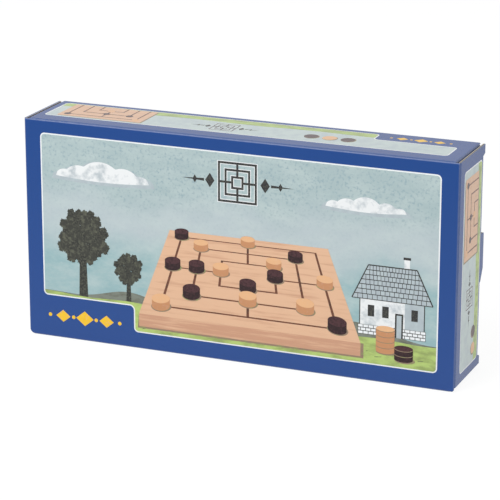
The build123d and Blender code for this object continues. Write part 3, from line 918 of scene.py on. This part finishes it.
# Each panel's printed side and the direction across its flutes.
PANELS = {
    "front_panel": (-BACK, UP),
    "back_panel": (BACK, UP),
    "top_panel": (UP, BACK),
    "bottom_panel": (-UP, BACK),
    "glue_flap": (-UP, BACK),
}
for end, outwards in (("right_", RIGHT), ("left_", -RIGHT)):
    PANELS[end + "closure_panel"] = (outwards, UP)
    PANELS[end + "tuck_tongue"] = (BACK, UP)
    PANELS[end + "upper_dust_flap"] = PANELS[end + "lower_dust_flap"] = (outwards, BACK)

# The share of a panel's cut edges printed blue: usual, where the cutting rule pushed the printed liner
# down, and where it differs. On the left closure the larger share is painted shade that darkens its
# cut edge. The glue flap carries no print.
ROLLED = 0.2
ROLLED_AND_SHADED_EDGES = {"left_closure_panel": 0.85, "glue_flap": None}

# The brass nodes, and the parts of each half of the folding board by the way their grain runs.
BRASS = (
    "hinge_leaves_front", "hinge_leaves_back", "hinge_pins", "hinge_screws", "latch_keeper",
    "latch_pivot_plate", "latch_nails", "latch_hook")
PARTS_ALONG_X = ("face_board", "hinge_rail", "latch_rail")
PARTS_ALONG_Z = ("left_rail", "right_rail")


def dress(node, material):
    """Gives a carried-over node one material in each of its slots."""
    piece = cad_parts[node]
    if not piece.data.materials:
        piece.data.materials.append(material)
    for slot in piece.material_slots:
        slot.link = "OBJECT"
        slot.material = material


class MORRISBOX_OT_carton(Operator):
    """Gives every panel and flap of the carton its print, raw inside and fluted edges"""
    bl_idname = "morris_box.carton"
    bl_label = "Carton board"

    def execute(self, context):
        scene = context.scene
        for node, (out, across) in PANELS.items():
            outer = max(corner.dot(out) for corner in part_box(node)) / MM
            blue_edge_share = ROLLED_AND_SHADED_EDGES.get(node, ROLLED)
            dress(node, carton_board(
                "board_" + node, out, across, outer, blue_edge_share, scene.morris_inks, scene.morris_finishes))
        return {"FINISHED"}


class MORRISBOX_OT_prints(Operator):
    """Lays the pictures on the front, the top, the back, both ends and the leaflet"""
    bl_idname = "morris_box.prints"
    bl_label = "Prints"

    def execute(self, context):
        sizes = context.scene.morris_print
        materials = ink_materials(context.scene.morris_inks)
        front_picture(sizes, materials)
        top_picture(sizes, materials)
        back_picture(sizes, materials)
        end_picture("right", sizes, materials)
        end_picture("left", sizes, materials)
        leaflet_picture(sizes, materials)
        return {"FINISHED"}


class MORRISBOX_OT_folding_board(Operator):
    """Gives the folding board its beech and its stained lines"""
    bl_idname = "morris_box.folding_board"
    bl_label = "Folding board"

    def execute(self, context):
        finishes = context.scene.morris_finishes
        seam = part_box("front_half_hinge_rail")[1].y / MM
        beech = (finishes.beech, finishes.beech_grain)
        along_x = turned_wood("planed_beech", *beech, "X", 0.42, seam)
        along_z = turned_wood("planed_beech_upright", *beech, "Z", 0.42, seam)
        stain = turned_wood("stained_line", finishes.stain, finishes.stain * 0.6, "X", 0.5)
        for parts, material in ((PARTS_ALONG_X, along_x), (PARTS_ALONG_Z, along_z), (["lines"], stain)):
            for part in parts:
                dress("front_half_" + part, material)
                dress("back_half_" + part, material)
        return {"FINISHED"}


class MORRISBOX_OT_men(Operator):
    """Gives the light and the dark men their turned wood"""
    bl_idname = "morris_box.men"
    bl_label = "Men"

    def execute(self, context):
        finishes = context.scene.morris_finishes
        light, dark = (finishes.light_wood, finishes.light_grain), (finishes.dark_wood, finishes.dark_grain)
        dress("light_men", turned_wood("turned_light_wood", *light, "Y", 0.4))
        dress("dark_men", turned_wood("turned_dark_wood", *dark, "Y", 0.36))
        return {"FINISHED"}


class MORRISBOX_OT_brass(Operator):
    """Gives the hinges and the latch their brass"""
    bl_idname = "morris_box.brass"
    bl_label = "Brass"

    def execute(self, context):
        brass = stamped_brass(context.scene.morris_finishes)
        for node in BRASS:
            dress(node, brass)
        return {"FINISHED"}


class MORRISBOX_OT_leaflet(Operator):
    """Gives the leaflet its paper"""
    bl_idname = "morris_box.leaflet"
    bl_label = "Leaflet"

    def execute(self, context):
        dress("rules_leaflet", uncoated_paper(context.scene.morris_finishes))
        return {"FINISHED"}


# ---- stage

AIM = Vector((0.16, 0.0, 66.89)) * MM
FLOOR_DROP = 0.1       # millimetres, keeps the floor apart from the base that stands on it
FLOOR_WHITE = 1.06     # strength of the white that the camera sees in the floor
FLOOR_SHARE = 0.86     # share of that white, the rest is the lit floor with its shadow
FLOOR_SIDES = 96

# The place of each lamp and the length of its side, in metres.
KEY_LAMP = ((-0.7, -1.3, 1.5), 1.2)
FILL_LAMP = ((1.5, -0.5, 0.7), 1.0)


def seen_directly(add):
    """1 for camera, glossy and transmission rays, so that they find a white background."""
    path = add("LightPath").node.outputs
    gloss = add("Math", {0: path["Is Camera Ray"], 1: path["Is Glossy Ray"]}, operation="MAXIMUM")
    return add("Math", {0: gloss, 1: path["Is Transmission Ray"]}, operation="MAXIMUM")


def make_floor(stage):
    """A pale round floor that looks white, keeps a soft shadow and is clear from beneath."""
    material = bpy.data.materials.new("studio_floor")
    add = emptied(material)
    lit = add("BsdfDiffuse", {"Color": stage.floor})
    white = add("Emission", {"Strength": FLOOR_WHITE})
    share = add("Math", {0: seen_directly(add), 1: FLOOR_SHARE}, operation="MULTIPLY")
    above = add("MixShader", {0: share, 1: lit, 2: white})
    below = add("NewGeometry", out="Backfacing")
    seen = add("MixShader", {0: below, 1: above, 2: add("BsdfTransparent")})
    add("OutputMaterial", {"Surface": seen})
    mesh = bmesh.new()
    bmesh.ops.create_circle(mesh, cap_ends=True, segments=FLOOR_SIDES, radius=stage.floor_radius)
    data = bpy.data.meshes.new("floor")
    mesh.to_mesh(data)
    mesh.free()
    data.materials.append(material)
    floor = add_object("floor", data)
    floor.location.z = -FLOOR_DROP * MM


def make_world(stage):
    """Even grey light all round, which looks white where it is seen."""
    world = bpy.data.worlds.new("studio")
    bpy.context.scene.world = world
    add = emptied(world)
    strength = add("MapRange", {"Value": seen_directly(add), "To Min": stage.sky_light, "To Max": 1.0})
    light = add("Background", {"Color": (1, 1, 1), "Strength": strength})
    add("OutputWorld", {"Surface": light})


def make_lamp(name, place, side, power):
    """A soft square lamp that looks at the box."""
    lamp = bpy.data.lights.new(name, "AREA")
    lamp.shape = "SQUARE"
    lamp.size = side
    lamp.energy = power
    piece = add_object(name, lamp)
    piece.location = place
    piece.rotation_euler = (AIM - Vector(place)).to_track_quat("-Z", "Y").to_euler()


def make_camera(stage):
    """The camera, turned round the point that it looks at."""
    camera = bpy.data.cameras.new("camera")
    camera.sensor_width = 36
    camera.lens = stage.lens
    camera.dof.use_dof = False
    camera.clip_start, camera.clip_end = 0.01, 50
    piece = add_object("camera", camera)
    level = math.cos(stage.elevation)
    back = Vector((
        math.sin(stage.azimuth) * level, -math.cos(stage.azimuth) * level, math.sin(stage.elevation)))
    look = (-back).to_track_quat("-Z", "Y").to_matrix() @ Matrix.Rotation(stage.roll, 3, "Z")
    piece.location = AIM + back * stage.distance
    piece.rotation_euler = look.to_euler()
    bpy.context.scene.camera = piece


class MORRISBOX_OT_stage(Operator):
    """Makes the floor, the light and the camera"""
    bl_idname = "morris_box.stage"
    bl_label = "Stage"

    def execute(self, context):
        stage = context.scene.morris_stage
        make_floor(stage)
        make_world(stage)
        make_lamp("key_lamp", *KEY_LAMP, stage.key_light)
        make_lamp("fill_lamp", *FILL_LAMP, stage.fill_light)
        make_camera(stage)
        context.scene.view_settings.view_transform = "Standard"
        return {"FINISHED"}


# ---- add-on

OPERATORS = (
    MORRISBOX_OT_stage, MORRISBOX_OT_carton, MORRISBOX_OT_prints, MORRISBOX_OT_folding_board,
    MORRISBOX_OT_men, MORRISBOX_OT_brass, MORRISBOX_OT_leaflet)

SETTINGS = {
    "morris_print": MorrisBoxPrintSizes,
    "morris_inks": MorrisBoxInks,
    "morris_finishes": MorrisBoxFinishes,
    "morris_stage": MorrisBoxStage,
}


class MORRISBOX_PT_sidebar(Panel):
    """Lists the settings and the steps that dress the box"""
    bl_idname = "MORRISBOX_PT_sidebar"
    bl_label = "Nine men's morris box"
    bl_space_type = "VIEW_3D"
    bl_region_type = "UI"
    bl_category = "Morris Box"

    def draw(self, context):
        layout = self.layout
        for name, group in SETTINGS.items():
            settings = getattr(context.scene, name)
            column = layout.box().column(align=True)
            for field in group.__annotations__:
                column.prop(settings, field)
        for operator in OPERATORS:
            layout.operator(operator.bl_idname)


def register():
    for group in (*SETTINGS.values(), *OPERATORS, MORRISBOX_PT_sidebar):
        bpy.utils.register_class(group)
    for name, group in SETTINGS.items():
        setattr(bpy.types.Scene, name, PointerProperty(type=group))


def unregister():
    for name in SETTINGS:
        delattr(bpy.types.Scene, name)
    for group in reversed((*SETTINGS.values(), *OPERATORS, MORRISBOX_PT_sidebar)):
        bpy.utils.unregister_class(group)


def main():
    register()
    bpy.ops.morris_box.stage()
    bpy.ops.morris_box.carton()
    bpy.ops.morris_box.prints()
    bpy.ops.morris_box.folding_board()
    bpy.ops.morris_box.men()
    bpy.ops.morris_box.brass()
    bpy.ops.morris_box.leaflet()


if __name__ == "__main__":
    main()
